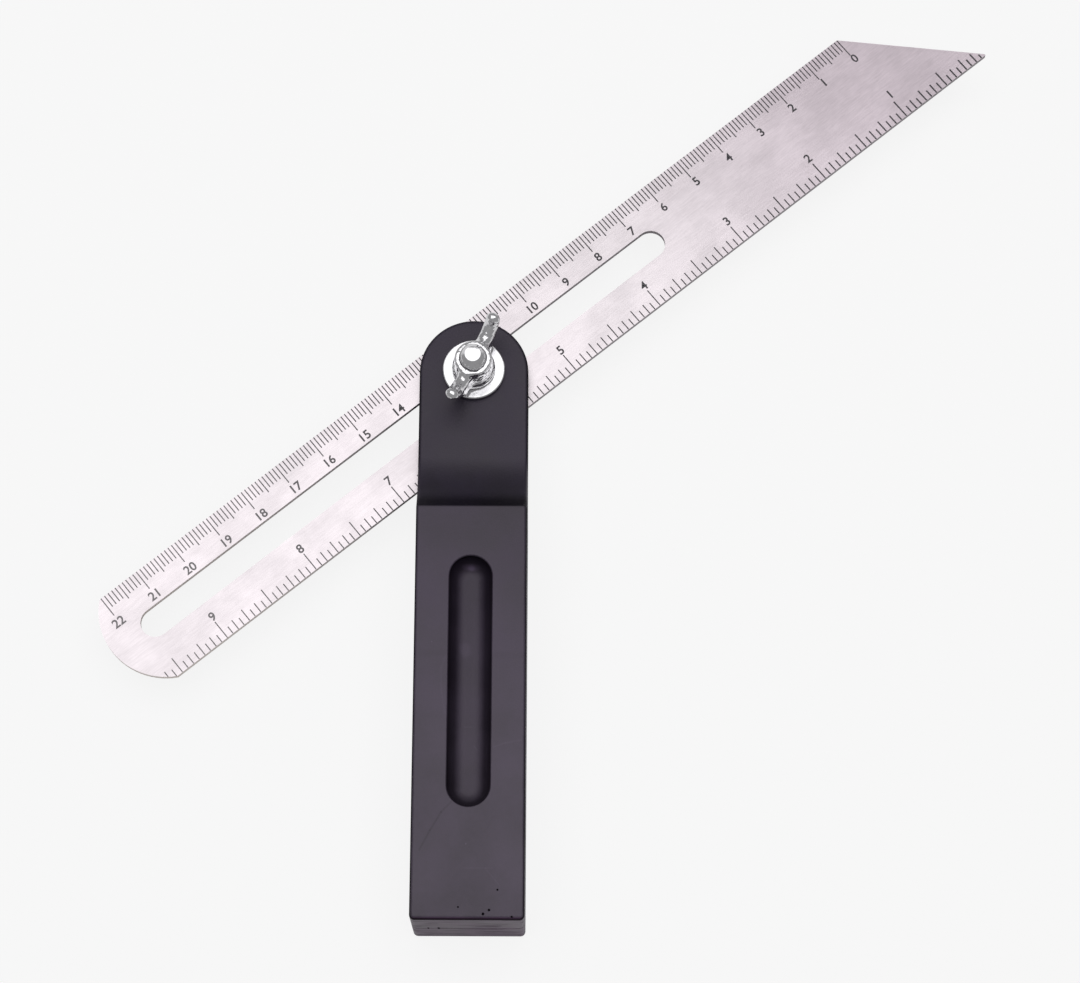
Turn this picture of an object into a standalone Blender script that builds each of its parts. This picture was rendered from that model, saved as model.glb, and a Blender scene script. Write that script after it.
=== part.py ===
"""A sliding bevel, the joiner's tool that copies an angle, lying on the back of its stock.

A slotted steel blade swings and slides on one M6 bolt in the open kerf of a moulded stock, and a wing nut
on a washer clamps it. Lengths are in metres and angles in radians. +Y runs along the stock from its butt to
the pivot, and +Z rises from the stock's back towards the wing nut. The origin lies on the stock's back face,
on its centre line, midway between the back grip groove and the butt.
"""

import math

import bmesh
import bpy
import numpy as np

# Stock, a pair of moulded halves that mirror each other about the middle of the kerf
STOCK_WIDTH = 0.0250
STOCK_THICKNESS = 0.0240
PIVOT_TO_BUTT = 0.1276
BUTT_BLOCK_LENGTH = 0.0176
BUTT_CORNER_RADIUS = 0.0011
FACE_ROUNDING = 0.0008
PARTING_GAP = 0.0003
EAR_RECESS = 0.0060
SHOULDER_TO_PIVOT = 0.0342
SCOOP_RUN = 0.0136

# Grip groove, one in each face of the stock
GROOVE_TO_SHOULDER = 0.0117
GROOVE_TO_BUTT = 0.0249
GROOVE_WIDTH = 0.0094
GROOVE_DEPTH = 0.0045
GROOVE_FLOOR_RADIUS = 0.0038
GROOVE_LIP = 0.0003

# Locating pegs of the front half, in sockets of the back half
PEG_DIAMETER = 0.0040
PEG_LENGTH = 0.0050
PEG_SPACING = 0.0120
PEG_ROOT = 0.0010

# Blade, read from its metric edge, whose zero is the corner of the mitred end
BLADE_WIDTH = 0.0254
BLADE_THICKNESS = 0.0015
BLADE_LENGTH = 0.2254
TIP_FLAT = 0.0004
TAIL_RADIUS_SHARE = 0.622
TAIL_CENTRE_SHARE = 0.457
SLOT_WIDTH = 0.0068
SLOT_TO_METRIC_EDGE = 0.00885
SLOT_START_READING = 0.0648
SLOT_END_READING = 0.2171
PIVOT_READING = 0.1212
BLADE_ANGLE = math.radians(39.3)

# Clamp: bolt, washer and wing nut
BOLT_DIAMETER = 0.0060
BOLT_HEAD_DIAMETER = 0.0150
BOLT_HEAD_HEIGHT = 0.0036
BOLT_HEAD_RIM = 0.0004
BOLT_PROUD = 0.0029
BOLT_END_CHAMFER = 0.0009
BOLT_END_DOME = 0.0003
WASHER_DIAMETER = 0.0142
WASHER_THICKNESS = 0.0012
WASHER_CHAMFER = 0.0002
NUT_BASE_DIAMETER = 0.0098
NUT_TOP_DIAMETER = 0.0084
NUT_HEIGHT = 0.0074
NUT_FLANGE_HEIGHT = 0.0013
NUT_NECK_STEP = 0.0003
NUT_TOP_CHAMFER = 0.0004
WING_SPAN = 0.0229
WING_TOP = 0.0098
WING_TIP_RADIUS = 0.00125
WING_FOOT = 0.0003
WING_ROOT_RADIUS = 0.0041
WING_ROOT_OUT_SHARE = 0.86
WING_ROOT_UP_SHARE = 0.25
WING_THICKNESS = 0.0034
WING_ROUNDING = 0.0010
WING_ANGLE = math.radians(63.5)

# Clearances
SEAT_GAP = 0.0003
BORE_CLEARANCE = 0.0003
PEG_CLEARANCE = 0.0003
KERF_CLEARANCE = 0.00025
NECK_CLEARANCE = 0.0004
CUT_OVERRUN = 0.0020

# Shape of the neck's rounded square, and counts of facets
NECK_POWER = 8
CORNER_STEPS = 6
HEAD_STEPS = 28
SCOOP_STEPS = 14
KERF_END_STEPS = 4
ROUND_STEPS = 5
GROOVE_END_STEPS = 20
GROOVE_FLOOR_STEPS = 10
TAIL_STEPS = 24
SLOT_END_STEPS = 16
TURNED_SIDES = 60
DOME_STEPS = 5
PEG_SIDES = 20
WING_END_STEPS = 14
WING_RIM_STEPS = 5
SMOOTH_ANGLE = math.radians(32)

# Places that follow from the sizes above
MIDDLE = STOCK_THICKNESS / 2
KERF_WIDTH = BLADE_THICKNESS + 2 * KERF_CLEARANCE
KERF_FLOOR_TO_PIVOT = PIVOT_TO_BUTT - BUTT_BLOCK_LENGTH
EAR_FACE = MIDDLE - EAR_RECESS
GROOVE_START = SHOULDER_TO_PIVOT + GROOVE_TO_SHOULDER
GROOVE_END = PIVOT_TO_BUTT - GROOVE_TO_BUTT
PIVOT_Y = (GROOVE_END + PIVOT_TO_BUTT) / 2
SCOOP_RADIUS = (SCOOP_RUN**2 + EAR_RECESS**2) / (2 * EAR_RECESS)
SCOOP_END_TO_PIVOT = SHOULDER_TO_PIVOT - SCOOP_RUN
NECK_WIDTH = SLOT_WIDTH - 2 * NECK_CLEARANCE
NECK_REACH = NECK_WIDTH / 2 * 2 ** (1 / 2 - 1 / NECK_POWER)
HEAD_SEAT = EAR_RECESS - SEAT_GAP
NECK_TOP = MIDDLE + (BLADE_THICKNESS + KERF_WIDTH) / 4
WASHER_BASE = MIDDLE + EAR_FACE + SEAT_GAP
NUT_BASE = WASHER_BASE + WASHER_THICKNESS + SEAT_GAP
BOLT_END = NUT_BASE + NUT_HEIGHT + BOLT_PROUD
BORE_RADIUS = BOLT_DIAMETER / 2 + BORE_CLEARANCE

# Colour, roughness and metallic value of each finish
BLACK_PLASTIC = ("black_plastic", (0.030, 0.024, 0.035), 0.45, 0.0)
BRUSHED_STEEL = ("brushed_steel", (0.62, 0.57, 0.60), 0.30, 1.0)
BRIGHT_PLATE = ("bright_plate", (0.88, 0.88, 0.90), 0.12, 1.0)


def clear_scene():
    """Removes whatever the file opened with."""
    for old in list(bpy.data.objects):
        bpy.data.objects.remove(old, do_unlink=True)


def finish(recipe):
    """The Principled material that a finish's name, colour, roughness and metallic value describe."""
    name, colour, roughness, metallic = recipe
    material = bpy.data.materials.get(name) or bpy.data.materials.new(name)
    material.use_nodes = True
    shader = material.node_tree.nodes["Principled BSDF"]
    shader.inputs["Base Color"].default_value = (*colour, 1.0)
    shader.inputs["Roughness"].default_value = roughness
    shader.inputs["Metallic"].default_value = metallic
    return material


def add_object(name, points, faces, recipe=None, parent=None):
    """A mesh object with its faces turned outwards. Without a finish it is a hidden cutter or guide."""
    mesh = bpy.data.meshes.new(name)
    mesh.from_pydata([tuple(point) for point in points], [], faces)
    shape = bmesh.new()
    shape.from_mesh(mesh)
    bmesh.ops.recalc_face_normals(shape, faces=shape.faces)
    shape.to_mesh(mesh)
    shape.free()
    mesh.shade_smooth()
    mesh.set_sharp_from_angle(angle=SMOOTH_ANGLE)
    made = bpy.data.objects.new(name, mesh)
    bpy.context.scene.collection.objects.link(made)
    made.parent = parent
    if recipe:
        mesh.materials.append(finish(recipe))
    else:
        made.hide_render = True
        made.display_type = "WIRE"
    return made


def combine(target, other, operation):
    """Joins a hidden object to the target, or cuts it away."""
    step = target.modifiers.new(other.name, "BOOLEAN")
    step.operation = operation
    step.solver = "EXACT"
    step.object = other


def lofted(rings):
    """Points and faces of a closed skin over rings that hold equally many points, with a flat cap at each end."""
    count = len(rings[0])
    points = np.concatenate(rings)
    faces = []
    for level in range(len(rings) - 1):
        low, high = level * count, (level + 1) * count
        for here in range(count):
            after = (here + 1) % count
            faces.append((low + here, low + after, high + after, high + here))
    last = (len(rings) - 1) * count
    faces.append(tuple(reversed(range(count))))
    faces.append(tuple(range(last, last + count)))
    return points, faces


def at_height(outline, height):
    """An outline of (x, y) points as a ring at this height, or at each point's own height."""
    return np.column_stack([outline, np.broadcast_to(height, len(outline))])


def circle(radius, sides=TURNED_SIDES):
    """A circle about the origin as (x, y) points."""
    turn = np.linspace(0, 2 * math.pi, sides, endpoint=False)
    return radius * np.column_stack([np.cos(turn), np.sin(turn)])


def turned(profile, sides=TURNED_SIDES):
    """Rings of a turned piece, from its (radius, height) profile, lowest end first."""
    return [at_height(circle(radius, sides), height) for radius, height in profile]


def capsule(first, second, first_radius, second_radius, steps):
    """The outline round two circles and their common tangents; the circles lie along the outline's first axis."""
    lean = math.acos((first_radius - second_radius) / (second - first))
    near = np.linspace(lean, 2 * math.pi - lean, steps + 1)
    far = np.linspace(-lean, lean, steps + 1)
    near_end = np.column_stack([first + first_radius * np.cos(near), first_radius * np.sin(near)])
    far_end = np.column_stack([second + second_radius * np.cos(far), second_radius * np.sin(far)])
    return np.concatenate([near_end, far_end])


def outer_depth(y):
    """How far the outer skin of a half stands from the middle plane, y from the pivot.

    It is the stock's face below the shoulder and the ear's face at the pivot. Between them the scoop is an
    arc that leaves the ear's face smoothly and breaks out at the shoulder.
    """
    along = np.clip(-y - SCOOP_END_TO_PIVOT, 0, SCOOP_RUN)
    return EAR_FACE + SCOOP_RADIUS - np.sqrt(SCOOP_RADIUS**2 - along**2)


def inner_depth(y):
    """How far the inner skin of a half stands from the middle plane: the kerf, its round end, the parting."""
    radius = KERF_WIDTH / 2
    along = np.clip(y + KERF_FLOOR_TO_PIVOT, 0, radius)
    return np.maximum(PARTING_GAP / 2, np.sqrt(radius**2 - (radius - along) ** 2))


def side_stations():
    """The y values along the straight sides where the outer or the inner skin bends."""
    radius = KERF_WIDTH / 2
    kerf_turn = np.linspace(math.asin(PARTING_GAP / 2 / radius), math.pi / 2, KERF_END_STEPS + 1)
    kerf_end = radius * (1 - np.cos(kerf_turn)) - KERF_FLOOR_TO_PIVOT
    scoop_turn = np.linspace(0, math.asin(SCOOP_RUN / SCOOP_RADIUS), SCOOP_STEPS + 1)
    scoop = -SCOOP_END_TO_PIVOT - SCOOP_RADIUS * np.sin(scoop_turn)
    return np.sort(np.concatenate([kerf_end, scoop]))


def stock_outline(inset):
    """The right-hand side of the stock's plan from butt to head as (x, y) from the pivot, drawn in by inset."""
    reach = STOCK_WIDTH / 2 - inset
    corner = np.linspace(-math.pi / 2, 0, CORNER_STEPS + 1)
    corner_radius = BUTT_CORNER_RADIUS - inset
    corner_x = STOCK_WIDTH / 2 - BUTT_CORNER_RADIUS + corner_radius * np.cos(corner)
    corner_y = BUTT_CORNER_RADIUS - PIVOT_TO_BUTT + corner_radius * np.sin(corner)
    stations = side_stations()
    head = np.linspace(0, math.pi / 2, HEAD_STEPS + 1)
    x = np.concatenate([corner_x, np.full(len(stations), reach), reach * np.cos(head)])
    y = np.concatenate([corner_y, stations, reach * np.sin(head)])
    return np.column_stack([x, y])


def both_sides(right):
    """The closed outline whose right-hand side is given: up the right, over the top, and down the left."""
    left = right[-2::-1] * (-1, 1)
    return np.concatenate([right, left])


def ladder(count, first):
    """Faces that span a ring from side to side, pair by pair, where both_sides made it from count points."""
    def left(rung):
        return first + 2 * (count - 1) - rung

    faces = [
        (first + rung, first + rung + 1, left(rung + 1), left(rung)) for rung in range(count - 2)
    ]
    top = first + count - 1
    faces.append((top - 1, top, top + 1))
    return faces


def half_blank(name, direction):
    """One half of the stock before its holes are cut. direction is 1 for the front half and -1 for the back."""
    turn = np.linspace(0, math.pi / 2, ROUND_STEPS + 1)
    insets = np.concatenate([[0], FACE_ROUNDING * (1 - np.cos(turn))])
    drops = FACE_ROUNDING * (1 - np.sin(turn))
    rings = []
    for level, inset in enumerate(insets):
        plan = both_sides(stock_outline(inset))
        depth = inner_depth(plan[:, 1]) if level == 0 else outer_depth(plan[:, 1]) - drops[level - 1]
        rings.append(at_height(plan + (0, PIVOT_Y), MIDDLE + direction * depth))
    points, faces = lofted(rings)
    count = len(stock_outline(0))
    last = (len(rings) - 1) * len(rings[0])
    faces = faces[:-2] + ladder(count, 0) + ladder(count, last)
    return add_object(name, points, faces, BLACK_PLASTIC)


def groove_cutter(name, direction):
    """A long round-ended bar with a filleted lower edge and a flared mouth, for the grip groove."""
    half_width = GROOVE_WIDTH / 2
    turn = np.linspace(0, math.pi / 2, GROOVE_FLOOR_STEPS + 1)
    floor_width = half_width - GROOVE_FLOOR_RADIUS * (1 - np.cos(turn))
    floor_depth = GROOVE_DEPTH - GROOVE_FLOOR_RADIUS * (1 - np.sin(turn))
    widths = [half_width + GROOVE_LIP + CUT_OVERRUN, half_width, *floor_width]
    depths = [-CUT_OVERRUN, GROOVE_LIP, *floor_depth]
    start, end = GROOVE_START + half_width, GROOVE_END - half_width
    rings = []
    for width, depth in zip(widths, depths, strict=True):
        plan = capsule(start, end, width, width, GROOVE_END_STEPS)
        turned_plan = np.column_stack([plan[:, 1], PIVOT_Y - plan[:, 0]])
        rings.append(at_height(turned_plan, MIDDLE + direction * (MIDDLE - depth)))
    return add_object(name, *lofted(rings))


def upright_cylinder(name, x, y, radius, low, high, sides):
    """A hidden cylinder that stands on (x, y), for a hole, a peg or a socket."""
    points, faces = lofted(turned([(radius, low), (radius, high)], sides))
    return add_object(name, points + (x, y, 0), faces)


def peg_places():
    """The (x, y) of each locating peg, in the middle of the butt block's length."""
    y = PIVOT_Y - (PIVOT_TO_BUTT + KERF_FLOOR_TO_PIVOT) / 2
    return [(-PEG_SPACING / 2, y), (PEG_SPACING / 2, y)]


def make_front_half():
    """The front half: its grip groove, the bolt's hole in its ear, and two pegs that reach into the back half."""
    half = half_blank("stock_front_half", 1)
    combine(half, groove_cutter("front_groove_cutter", 1), "DIFFERENCE")
    hole = upright_cylinder(
        "front_bolt_hole", 0, PIVOT_Y, BORE_RADIUS,
        MIDDLE - CUT_OVERRUN, MIDDLE + EAR_FACE + CUT_OVERRUN, TURNED_SIDES,
    )
    combine(half, hole, "DIFFERENCE")
    for number, (x, y) in enumerate(peg_places(), start=1):
        peg = upright_cylinder(
            f"peg_{number}", x, y, PEG_DIAMETER / 2,
            MIDDLE - PARTING_GAP / 2 - PEG_LENGTH, MIDDLE + PARTING_GAP / 2 + PEG_ROOT, PEG_SIDES,
        )
        combine(half, peg, "UNION")
    return half


def make_back_half():
    """The back half: its grip groove, the wider hole that the bolt's neck turns in, and the pegs' sockets."""
    half = half_blank("stock_back_half", -1)
    combine(half, groove_cutter("back_groove_cutter", -1), "DIFFERENCE")
    hole = upright_cylinder(
        "back_bolt_hole", 0, PIVOT_Y, NECK_REACH + BORE_CLEARANCE,
        MIDDLE - EAR_FACE - CUT_OVERRUN, MIDDLE + CUT_OVERRUN, TURNED_SIDES,
    )
    combine(half, hole, "DIFFERENCE")
    for number, (x, y) in enumerate(peg_places(), start=1):
        socket = upright_cylinder(
            f"socket_{number}", x, y, PEG_DIAMETER / 2 + PEG_CLEARANCE,
            MIDDLE - PARTING_GAP / 2 - PEG_LENGTH - PEG_CLEARANCE, MIDDLE + CUT_OVERRUN, PEG_SIDES,
        )
        combine(half, socket, "DIFFERENCE")
    return half


def blade_outline():
    """The blade's plan about the pivot, x towards the mitred end and y towards the metric edge."""
    metric_edge = SLOT_TO_METRIC_EDGE + SLOT_WIDTH / 2
    inch_edge = metric_edge - BLADE_WIDTH
    tip = PIVOT_READING + BLADE_WIDTH - TIP_FLAT
    radius = BLADE_WIDTH * TAIL_RADIUS_SHARE
    centre_x = PIVOT_READING - BLADE_LENGTH + radius
    centre_y = metric_edge - BLADE_WIDTH * TAIL_CENTRE_SHARE
    start = math.pi - math.asin((metric_edge - centre_y) / radius)
    stop = math.pi + math.asin((centre_y - inch_edge) / radius)
    turn = np.linspace(start, stop, TAIL_STEPS + 1)
    tail = np.column_stack([centre_x + radius * np.cos(turn), centre_y + radius * np.sin(turn)])
    mitred_end = [(tip, inch_edge), (tip, inch_edge + TIP_FLAT), (PIVOT_READING, metric_edge)]
    return np.concatenate([tail, mitred_end])


def make_blade(pivot):
    """The blade: a flat plate with one end mitred at 45 degrees, one end rounded, and a long round-ended slot."""
    low, high = -BLADE_THICKNESS / 2, BLADE_THICKNESS / 2
    plan = blade_outline()
    points, faces = lofted([at_height(plan, low), at_height(plan, high)])
    blade = add_object("blade", points, faces, BRUSHED_STEEL, pivot)
    radius = SLOT_WIDTH / 2
    tail_end = PIVOT_READING - SLOT_END_READING + radius
    mitre_end = PIVOT_READING - SLOT_START_READING - radius
    slot = capsule(tail_end, mitre_end, radius, radius, SLOT_END_STEPS)
    points, faces = lofted([at_height(slot, low - CUT_OVERRUN), at_height(slot, high + CUT_OVERRUN)])
    combine(blade, add_object("slot_cutter", points, faces, parent=pivot), "DIFFERENCE")
    return blade


def neck_outline():
    """The bolt's square neck with rounded corners: the curve |x|**n + |y|**n = half width**n."""
    turn = np.linspace(0, 2 * math.pi, TURNED_SIDES, endpoint=False)
    spread = np.abs(np.cos(turn)) ** NECK_POWER + np.abs(np.sin(turn)) ** NECK_POWER
    return circle(1) * (NECK_WIDTH / 2 / spread ** (1 / NECK_POWER))[:, None]


def dome(radius, height, base, direction):
    """The (radius, height) points of a cap of a sphere, from its rim at base to near its crown."""
    ball = (radius**2 + height**2) / (2 * height)
    turn = math.asin(radius / ball) * np.linspace(1, 1 / DOME_STEPS, DOME_STEPS)
    return [(ball * math.sin(a), base + direction * (ball * math.cos(a) - ball + height)) for a in turn]


def make_pivot_bolt(pivot):
    """The bolt: domed head, square neck through back ear and slot, round shank and domed end."""
    head_radius, shank = BOLT_HEAD_DIAMETER / 2, BOLT_DIAMETER / 2
    rim = HEAD_SEAT - BOLT_HEAD_RIM
    crown = dome(head_radius, BOLT_HEAD_HEIGHT - BOLT_HEAD_RIM, rim, -1)
    end_radius = shank - BOLT_END_CHAMFER
    end_base = BOLT_END - BOLT_END_DOME
    below = turned([*reversed(crown), (head_radius, HEAD_SEAT)])
    neck = [at_height(neck_outline(), HEAD_SEAT), at_height(neck_outline(), NECK_TOP)]
    above = turned(
        [(shank, NECK_TOP), (shank, end_base - BOLT_END_CHAMFER)]
        + dome(end_radius, BOLT_END_DOME, end_base, 1)
    )
    points, faces = lofted([ring - (0, 0, MIDDLE) for ring in below + neck + above])
    return add_object("pivot_bolt", points, faces, BRIGHT_PLATE, pivot)


def make_washer(pivot):
    """The flat washer, its outer edge broken by a small chamfer."""
    edge = WASHER_DIAMETER / 2
    low, high = WASHER_BASE - MIDDLE, WASHER_BASE + WASHER_THICKNESS - MIDDLE
    profile = [
        (BORE_RADIUS, high), (BORE_RADIUS, low),
        (edge - WASHER_CHAMFER, low), (edge, low + WASHER_CHAMFER),
        (edge, high - WASHER_CHAMFER), (edge - WASHER_CHAMFER, high),
    ]
    rings = turned(profile)
    points, faces = lofted([*rings, rings[0]])
    count = TURNED_SIDES * len(profile)
    faces = [tuple(corner % count for corner in face) for face in faces[:-2]]
    return add_object("washer", points[:count], faces, BRIGHT_PLATE, pivot)


def wing(name, side, parent):
    """One wing of the nut: a tapered upright plate with a rounded rim, its root inside the hub.

    Its outline is a capsule from the root to the tip, laid out radially and cut off level just above the
    hub's foot. Each ring is that outline drawn in as the rim rounds over, and the rings step across the
    wing's thickness.
    """
    root = np.array([NUT_TOP_DIAMETER / 2 * WING_ROOT_OUT_SHARE, NUT_HEIGHT * WING_ROOT_UP_SHARE])
    tip = np.array([WING_SPAN / 2 - WING_TIP_RADIUS, WING_TOP - WING_TIP_RADIUS])
    length = np.linalg.norm(tip - root)
    along = (tip - root) / length
    across = np.array([-along[1], along[0]])
    turn = np.linspace(0, math.pi / 2, WING_RIM_STEPS + 1)
    insets = WING_ROUNDING * (1 - np.sin(turn))
    offsets = WING_THICKNESS / 2 - WING_ROUNDING * (1 - np.cos(turn))
    rings = []
    for inset, offset in zip([*insets, *insets[::-1]], [*-offsets, *offsets[::-1]], strict=True):
        plan = capsule(0, length, WING_ROOT_RADIUS - inset, WING_TIP_RADIUS - inset, WING_END_STEPS)
        upright = root + plan[:, :1] * along + plan[:, 1:] * across
        upright[:, 1] = np.maximum(upright[:, 1], WING_FOOT)
        ring = np.column_stack([side * upright[:, 0], np.full(len(upright), offset), upright[:, 1]])
        rings.append(ring + (0, 0, NUT_BASE - MIDDLE))
    return add_object(name, *lofted(rings), parent=parent)


def make_wing_nut(pivot):
    """The wing nut: a flanged, tapered hub with a bore, and two wings that rise outwards from it."""
    base, top = NUT_BASE - MIDDLE, NUT_BASE + NUT_HEIGHT - MIDDLE
    foot, crest = NUT_BASE_DIAMETER / 2, NUT_TOP_DIAMETER / 2
    hub = turned([
        (foot, base), (foot, base + NUT_FLANGE_HEIGHT),
        (foot - NUT_NECK_STEP, base + NUT_FLANGE_HEIGHT + NUT_NECK_STEP),
        (crest, top - NUT_TOP_CHAMFER), (crest - NUT_TOP_CHAMFER, top),
    ])
    turner = bpy.data.objects.new("wing_nut_axis", None)
    bpy.context.scene.collection.objects.link(turner)
    turner.parent = pivot
    turner.rotation_euler.z = WING_ANGLE - BLADE_ANGLE
    nut = add_object("wing_nut", *lofted(hub), BRIGHT_PLATE, turner)
    for number, side in enumerate((1, -1), start=1):
        combine(nut, wing(f"wing_{number}", side, turner), "UNION")
    bore = turned([(BORE_RADIUS, base - CUT_OVERRUN), (BORE_RADIUS, top + CUT_OVERRUN)])
    combine(nut, add_object("nut_bore", *lofted(bore), parent=turner), "DIFFERENCE")
    return nut


def make_pivot_axis():
    """The empty on the pivot axis, turned to the blade's angle, that carries all that turns there."""
    pivot = bpy.data.objects.new("pivot_axis", None)
    bpy.context.scene.collection.objects.link(pivot)
    pivot.location = (0, PIVOT_Y, MIDDLE)
    pivot.rotation_euler.z = BLADE_ANGLE
    return pivot


def main():
    """Builds the six pieces of the bevel."""
    clear_scene()
    make_front_half()
    make_back_half()
    pivot = make_pivot_axis()
    make_blade(pivot)
    make_pivot_bolt(pivot)
    make_washer(pivot)
    make_wing_nut(pivot)


main()
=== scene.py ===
"""Looks of a sliding bevel that lies on the back of its stock, seen from above its butt.

The smooth halves of the stock, the blade's scales, the threaded bolt and the cast wing nut are pieces of their
own, and the blade and the washer keep their solids. Lengths are in metres, except in the tables that say
millimetres. +Y runs along the stock towards the pivot, +Z rises from its back, and the blade's own x axis runs
from the pivot towards its mitred end.
"""

from __future__ import annotations

import logging
import math
from dataclasses import dataclass, field
from enum import Enum
from typing import Any

import bpy
import numpy as np
from mathutils import Matrix, Vector


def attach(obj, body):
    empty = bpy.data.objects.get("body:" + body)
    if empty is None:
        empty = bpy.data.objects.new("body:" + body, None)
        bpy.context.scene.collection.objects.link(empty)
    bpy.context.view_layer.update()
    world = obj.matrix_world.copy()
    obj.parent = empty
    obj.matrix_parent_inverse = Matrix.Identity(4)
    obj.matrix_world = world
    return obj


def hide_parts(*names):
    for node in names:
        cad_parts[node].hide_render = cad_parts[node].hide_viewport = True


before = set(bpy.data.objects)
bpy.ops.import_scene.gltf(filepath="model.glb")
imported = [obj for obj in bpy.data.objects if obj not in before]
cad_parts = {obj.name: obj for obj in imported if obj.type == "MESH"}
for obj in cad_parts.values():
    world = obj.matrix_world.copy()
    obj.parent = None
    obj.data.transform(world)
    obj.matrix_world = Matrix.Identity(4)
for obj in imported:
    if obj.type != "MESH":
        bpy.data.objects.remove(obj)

Array = np.ndarray
Material = bpy.types.Material
Object = bpy.types.Object
Values = dict[str | int, Any]
Colour = tuple[float, float, float]
Point = tuple[float, float, float]
# Two measures that go together, such as a place in a plane.
Pair = tuple[float, float]
# A smooth step's two places: where it is 0 and where it is 1.
Span = tuple[float, float]
# A noise: blotches to the metre, finer layers, and the weight of each finer layer.
Pattern = tuple[float, float, float]
# A trace's two ends on a face, its width and its tone, the lengths in millimetres.
Trace = tuple[float, float, float, float, float, float]

MILLIMETRE = 0.001
INCH = 0.0254
LATTICE = 0.000001
SMOOTH_ANGLE = math.radians(35)
FLAT_FACE_WEIGHT = 100
SPOT_CORE = 0.4
STREAK_CORE = 0.2
# A black matt surface, mixed in for painted shade and for the plastic's dark pits, gaps and flow lines.
SHADE_AND_FLAW_BLACK = {"Base Color": (0.0, 0.0, 0.0, 1.0), "Roughness": 0.9, "IOR": 1.01}


class Body(Enum):
    """The moving bodies that the pieces ride on."""

    STOCK = "stock"
    PIVOT = "pivot"
    BLADE = "blade"
    WING_NUT = "wing_nut"


class Slot(Enum):
    """Names of the finishes of the stock, the blade and the hardware."""

    PLASTIC = "stock_plastic"
    STEEL = "blade_steel"
    PLATE = "bright_plate"


@dataclass(frozen=True)
class Signal:
    """A number that varies over a surface: one output socket, whose Python operators add Math nodes."""

    tree: bpy.types.NodeTree
    socket: bpy.types.NodeSocket

    def _math(self, operation: str, *terms: Signal | float) -> Signal:
        """Adds a Math node.

        Args:
            operation: What the node does.
            *terms: Its inputs, each a signal or a plain number.

        Returns:
            Its result.
        """
        node = self.tree.nodes.new("ShaderNodeMath")
        node.operation = operation
        for socket, term in zip(node.inputs, terms):
            if isinstance(term, Signal):
                self.tree.links.new(term.socket, socket)
            else:
                socket.default_value = term
        return Signal(self.tree, node.outputs[0])

    def __add__(self, other: Signal | float) -> Signal:
        """The sum."""
        return self._math("ADD", self, other)

    __radd__ = __add__

    def __sub__(self, other: Signal | float) -> Signal:
        """The difference."""
        return self._math("SUBTRACT", self, other)

    def __rsub__(self, other: float) -> Signal:
        """The difference from a plain number."""
        return self._math("SUBTRACT", other, self)

    def __mul__(self, other: Signal | float) -> Signal:
        """The product."""
        return self._math("MULTIPLY", self, other)

    __rmul__ = __mul__

    def __abs__(self) -> Signal:
        """The signal without its sign."""
        return self._math("ABSOLUTE", self)

    def least(self, other: Signal | float) -> Signal:
        """The smaller of the two."""
        return self._math("MINIMUM", self, other)

    def most(self, other: Signal | float) -> Signal:
        """The larger of the two."""
        return self._math("MAXIMUM", self, other)

    def about(self, middle: float, spread: float) -> Signal:
        """A signal from 0 to 1 as a value that spreads evenly about a middle."""
        return self * spread + (middle - spread / 2)

    def rise(self, low: float, high: float) -> Signal:
        """A smooth step.

        Args:
            low: Where it is 0.
            high: Where it is 1, which may be below low.

        Returns:
            The step.
        """
        node = self.tree.nodes.new("ShaderNodeMapRange")
        node.interpolation_type = "SMOOTHSTEP"
        self.tree.links.new(self.socket, node.inputs["Value"])
        first, last = (0.0, 1.0) if low < high else (1.0, 0.0)
        ends = {"From Min": min(low, high), "From Max": max(low, high), "To Min": first, "To Max": last}
        for name, value in ends.items():
            node.inputs[name].default_value = value
        return Signal(self.tree, node.outputs["Result"])


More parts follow.
